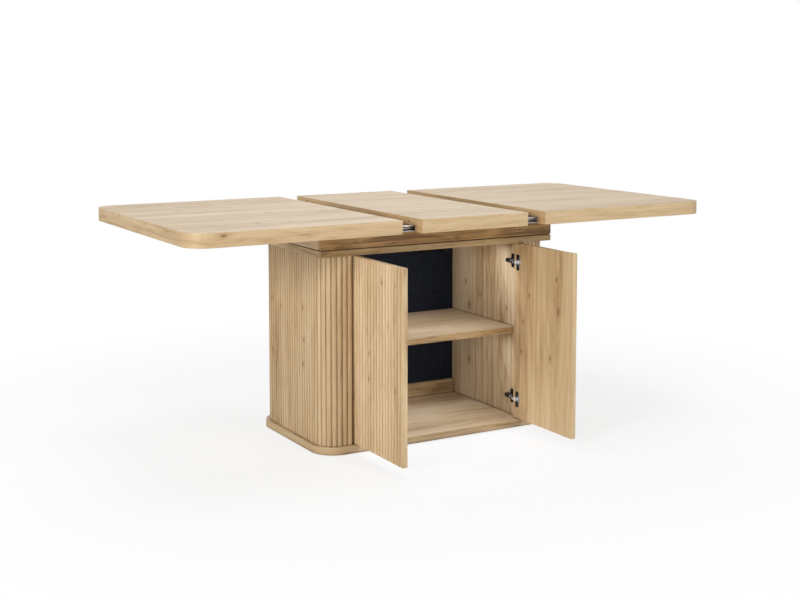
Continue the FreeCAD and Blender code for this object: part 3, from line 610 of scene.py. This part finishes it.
# Painted light: the left door has a lighter copy of the oak, where it stands out from under the top
# into the light.
LIT_DOOR_COAT = (paint(174, 142, 103), paint(204, 175, 134), paint(218, 191, 151),
               paint(229, 205, 167))
dress(oak("left_door_oak", "Z", left_door_knots, seed=26.1, flecks=0.6, crease_shade=0,
          coat=LIT_DOOR_COAT), "left_door_panel")
right_door_knots = [((0.32, -0.470, 0.440), 0.024), ((0.32, -0.426, 0.273), 0.020),
                    ((0.32, -0.263, 0.266), 0.016), ((0.32, -0.459, 0.545), 0.014),
                    ((0.32, -0.305, 0.465), 0.016), ((0.32, -0.272, 0.374), 0.016)]
dress(oak("right_door_oak", "Z", right_door_knots, seed=28.5, flecks=0.35, crease_shade=0),
      "right_door_panel")
black_steel = metal("black_steel", paint(22, 22, 24), rough=0.42, metallic=0.0)
nickel = metal("bright_nickel", paint(238, 237, 234), rough=0.2, spangle=0.06, metallic=0.75)
dress(black_steel, "hinge_plate_screws", "left_door_screws", "right_door_screws")

# Places in X are those of the right-hand side. An outline is given as its width in Y, its height
# and the radius of its corners.
HINGE_LEVELS = (0.096, 0.575)
WALL_FACE = 0.328
DOOR_FACE = 0.31025
PIVOT = (0.31925, -0.2295)
PLATE_OUTLINE = (0.018, 0.048, 0.006)
PLATE_Y = -0.185
PLATE_THICK = 0.0025
SADDLE_OUTLINE = (0.0455, 0.012, 0.003)
SADDLE_Y = -0.18025
SADDLE_X = (WALL_FACE - 0.008, WALL_FACE - 0.002)
COVER_OUTLINE = (0.039, 0.014, 0.005)
COVER_Y = -0.177
COVER_X = (0.3138, 0.3200)
COVER_EASE = 0.0008
SCREW_OUTLINE = (0.0062, 0.0062, 0.003)
SCREW_Y = -0.1895
SCREW_X = (0.3134, 0.3160)
ARM_THICK = 0.002
# The arm's line from its fixing screw to the pin, as the place in X and Y and half the height.
ARM_LINE = ((0.3168, -0.190, 0.0058), (0.3166, -0.1985, 0.0058), (0.3148, -0.2030, 0.0056),
            (0.3092, -0.2085, 0.0052), (0.3062, -0.2125, 0.0048), (0.3050, -0.2165, 0.0046),
            (0.3050, -0.2245, 0.0050), (0.3056, -0.2278, 0.0056), (0.3080, -0.2295, 0.0060),
            (0.3185, -0.2295, 0.0060))
# A pin is given as its radius, half its height and the number of its sides.
ARM_PIN = (0.0024, 0.006, 16)
CUP_PIN = (0.0012, 0.0145, 12)
CUP_Y = -0.23875
CUP_SIDES = 32
# The cup's wall from its outside to its inside, as the radius and the depth under the door's face.
CUP_PROFILE = ((0.01745, 0.0125), (0.0175, 0.0005), (0.0172, -0.0004), (0.0162, -0.0006),
               (0.0160, 0.0), (0.0158, 0.0100), (0.0140, 0.0114))
WING_OUTLINE = ((-0.0068, 0.0), (0.0068, 0.0), (0.0085, 0.006), (0.0085, 0.0175),
                (0.0066, 0.0195), (-0.0066, 0.0195), (-0.0085, 0.0175), (-0.0085, 0.006))
WING_MIDDLE = 0.00975
WING_RISE = 0.01775
WING_X = (DOOR_FACE - 0.0013, DOOR_FACE + 0.0001)


def rounded(width, height, radius):
    """A rounded rectangle round the origin, as a list of points."""
    spots = []
    for turn, across, up in ((0, 1, 1), (90, -1, 1), (180, -1, -1), (270, 1, -1)):
        spots += bend(across * (width / 2 - radius), up * (height / 2 - radius), radius,
                      turn, turn + 90)
    return spots


def slab(shape, side, spots, middle, low, high, ease=SMALL_EASE):
    """A flat piece across X with eased faces. middle is its place in Y and Z."""
    rings = []
    for x, share in ((low, 1), (low + ease, 0), (high - ease, 0), (high, 1)):
        ring = []
        for y, z in spots:
            shrink = 1.0 - share * ease / math.hypot(y, z)
            ring.append((side * x, middle[0] + y * shrink, middle[1] + z * shrink))
        rings.append(ring)
    loft(shape, rings)


def circle(radius, count):
    """Points on a circle round the origin."""
    turns = [2 * math.pi * i / count for i in range(count)]
    return [(radius * math.cos(a), radius * math.sin(a)) for a in turns]


def pin(shape, side, level, radius, half, count):
    """An upright pin on the line that the door turns on."""
    loft(shape, [[(side * (PIVOT[0] + x), PIVOT[1] + y, level + z)
                  for x, y in circle(radius, count)] for z in (-half, half)])


def ribbon(shape, side, level, stations, thick):
    """A bent strip with eased edges that follows the stations."""
    ease = SMALL_EASE
    rings = []
    for i, (x, y, half) in enumerate(stations):
        before = stations[max(i - 1, 0)]
        after = stations[min(i + 1, len(stations) - 1)]
        along = Vector((after[0] - before[0], after[1] - before[1])).normalized()
        out = Vector((-along.y, along.x)) * thick / 2
        ring = []
        for share, z in ((1, half - ease), (0.6, half), (-0.6, half), (-1, half - ease),
                         (-1, ease - half), (-0.6, -half), (0.6, -half), (1, ease - half)):
            ring.append((side * (x + out.x * share), y + out.y * share, level + z))
        rings.append(ring)
    loft(shape, rings)


arms = bmesh.new()
covers = bmesh.new()
plates = bmesh.new()
for side in (-1, 1):
    for level in HINGE_LEVELS:
        slab(plates, side, rounded(*PLATE_OUTLINE), (PLATE_Y, level), WALL_FACE - PLATE_THICK,
             WALL_FACE)
        slab(plates, side, rounded(*SADDLE_OUTLINE), (SADDLE_Y, level), *SADDLE_X)
        slab(covers, side, rounded(*COVER_OUTLINE), (COVER_Y, level), *COVER_X, COVER_EASE)
        slab(arms, side, rounded(*SCREW_OUTLINE), (SCREW_Y, level), *SCREW_X)
        ribbon(arms, side, level, ARM_LINE, ARM_THICK)
        pin(arms, side, level, *ARM_PIN)
fit("hinge_arm_steel", arms, nickel, "base", "nickel", "hinge_arms")
fit("hinge_arm_covers", covers, black_steel, "base", "black_metal")
fit("hinge_mounting_plates", plates, black_steel, "base", "black_metal", "hinge_plates")

for side, hand in ((-1, "left"), (1, "right")):
    cups = bmesh.new()
    wings = bmesh.new()
    for level in HINGE_LEVELS:
        loft(cups, [[(side * (DOOR_FACE + deep), CUP_Y + y, level + z)
                     for y, z in circle(radius, CUP_SIDES)] for radius, deep in CUP_PROFILE])
        pin(cups, side, level, *CUP_PIN)
        for up in (-1, 1):
            spots = [(y, up * (z - WING_MIDDLE)) for y, z in WING_OUTLINE]
            slab(wings, side, spots, (CUP_Y, level + up * WING_RISE), *WING_X)
    fit(hand + "_hinge_cups", cups, nickel, hand + "_door", "nickel",
        hand + "_door_hinge_cups")
    fit(hand + "_hinge_wings", wings, black_steel, hand + "_door", "black_metal")


# --- Push latches ----------------------------------------------------------------------------
# The doors have no handles. Two moulded black latches hang under the cabinet top, and the sprung
# plunger in each pushes its door open.

latch_black = plastic("latch_black", paint(9, 9, 10))
dress(latch_black, "push_latches", "left_latch_plunger", "right_latch_plunger")


# --- Floor, lamps and camera -----------------------------------------------------------------
# The table stands on plain pale paper. The key lamp is a soft box at the front left, with weaker
# ones at the front right, overhead and behind, and two small fill lamps light the cabinet's two
# bays. The camera looks from the front left, a little above the top.

FLOOR_HALF = 14.0
FLOOR_SQUARES = 8
floor_mesh = bpy.data.meshes.new("studio_floor")
shape = bmesh.new()
bmesh.ops.create_grid(shape, x_segments=FLOOR_SQUARES, y_segments=FLOOR_SQUARES,
                      size=FLOOR_HALF)
shape.to_mesh(floor_mesh)
shape.free()
floor = bpy.data.objects.new("studio_floor", floor_mesh)
bpy.context.scene.collection.objects.link(floor)

WHITE = (1.0, 1.0, 1.0, 1.0)
PAPER_GREY = (0.84, 0.84, 0.84, 1.0)
# The paper looks mostly plain white: it keeps a faint shadow beside the table and none far off.
NEAR_WHITE = 0.79
NEAR_REACH = 0.8
FAR_REACH = 2.2
floor_paper = bpy.data.materials.new("pale_paper")
floor_paper.use_nodes = True
tree = floor_paper.node_tree
matte = tree.nodes["Principled BSDF"]
matte.inputs["Base Color"].default_value = PAPER_GREY
matte.inputs["Roughness"].default_value = 0.9
lit = grow(tree, "BsdfDiffuse", {"Color": WHITE})[0]
white = grow(tree, "Emission", {"Color": WHITE, "Strength": 1.0})[0]
spot = grow(tree, "TexCoord")["Object"]
away = grow(tree, "VectorMath", {0: spot}, operation="LENGTH")["Value"]
fade = grow(tree, "MapRange", {"Value": away, "From Min": NEAR_REACH, "From Max": FAR_REACH,
                               "To Min": NEAR_WHITE, "To Max": 1.0},
            interpolation_type="SMOOTHSTEP")[0]
near = grow(tree, "MixShader", {0: fade, 1: lit, 2: white})[0]
ray = grow(tree, "LightPath")
seen = grow(tree, "MixShader", {0: ray["Is Camera Ray"], 1: matte.outputs[0], 2: near})[0]
tree.links.new(seen, tree.nodes["Material Output"].inputs["Surface"])
floor.data.materials.append(floor_paper)

# The room gives a weak even light, and looks plain white to the camera and in reflections.
ROOM_LIGHT = 0.2
world = bpy.data.worlds.new("studio")
world.use_nodes = True
bpy.context.scene.world = world
tree = world.node_tree
room = tree.nodes["Background"]
room.inputs["Color"].default_value = WHITE
room.inputs["Strength"].default_value = ROOM_LIGHT
plain = grow(tree, "Background", {"Color": WHITE, "Strength": 1.0})[0]
ray = grow(tree, "LightPath")
seen = grow(tree, "Math", {0: ray["Is Camera Ray"], 1: ray["Is Glossy Ray"]},
            operation="MAXIMUM")[0]
seen = grow(tree, "Math", {0: seen, 1: ray["Is Transmission Ray"]}, operation="MAXIMUM")[0]
mixed = grow(tree, "MixShader", {0: seen, 1: room.outputs[0], 2: plain})[0]
tree.links.new(mixed, tree.nodes["World Output"].inputs["Surface"])

TABLE_MIDDLE = Vector((0.0, 0.0, 0.5))


def soft_lamp(name, turn, rise, size, watts, away=7.0):
    """A square soft box aimed at the table, turned from the front to the right and raised.

    Both turns are in degrees, and its size and distance in metres.
    """
    lamp = bpy.data.lights.new(name, "AREA")
    lamp.shape = "SQUARE"
    lamp.size = size
    lamp.energy = watts
    turn = math.radians(turn)
    rise = math.radians(rise)
    reach = Vector((math.sin(turn) * math.cos(rise), -math.cos(turn) * math.cos(rise),
                    math.sin(rise)))
    held = bpy.data.objects.new(name, lamp)
    held.location = TABLE_MIDDLE + reach * away
    held.rotation_euler = reach.to_track_quat("Z", "Y").to_euler()
    bpy.context.scene.collection.objects.link(held)


soft_lamp("key_lamp", turn=-60, rise=14, size=1.7, watts=256.0)
soft_lamp("front_lamp", turn=15, rise=24, size=1.7, watts=140.0)
soft_lamp("over_lamp", turn=0, rise=90, size=2.6, watts=102.0, away=6.0)
soft_lamp("back_lamp", turn=150, rise=45, size=2.6, watts=86.0)

# Each fill lamp hangs just under the board over its bay and leans towards the back.
FILL_WIDE = 0.52
FILL_DEEP = 0.14
FILL_WATTS = 1.22
FILL_COLOUR = (0.90, 1.0, 1.17)
FILL_Y = -0.13
FILL_LEAN = 20.0
for name, height in (("upper_fill", 0.630), ("lower_fill", 0.316)):
    fill = bpy.data.lights.new(name, "AREA")
    fill.shape = "RECTANGLE"
    fill.size = FILL_WIDE
    fill.size_y = FILL_DEEP
    fill.energy = FILL_WATTS
    fill.color = FILL_COLOUR
    held = bpy.data.objects.new(name, fill)
    held.location = (0.0, FILL_Y, height)
    held.rotation_euler = (math.radians(FILL_LEAN), 0.0, 0.0)
    held.visible_camera = False
    bpy.context.scene.collection.objects.link(held)

CAMERA_PLACE = (-2.2775, -3.9153, 1.2291)
CAMERA_TILT = 5.059
CAMERA_TURN = -29.955
lens = bpy.data.cameras.new("studio_camera")
lens.sensor_width = 36.0
lens.lens = 59.068
lens.shift_y = -0.14
camera = bpy.data.objects.new("studio_camera", lens)
camera.location = CAMERA_PLACE
camera.rotation_euler = (math.radians(90.0 - CAMERA_TILT), 0.0, math.radians(CAMERA_TURN))
bpy.context.scene.collection.objects.link(camera)
bpy.context.scene.camera = camera
bpy.context.scene.view_settings.view_transform = "Standard"
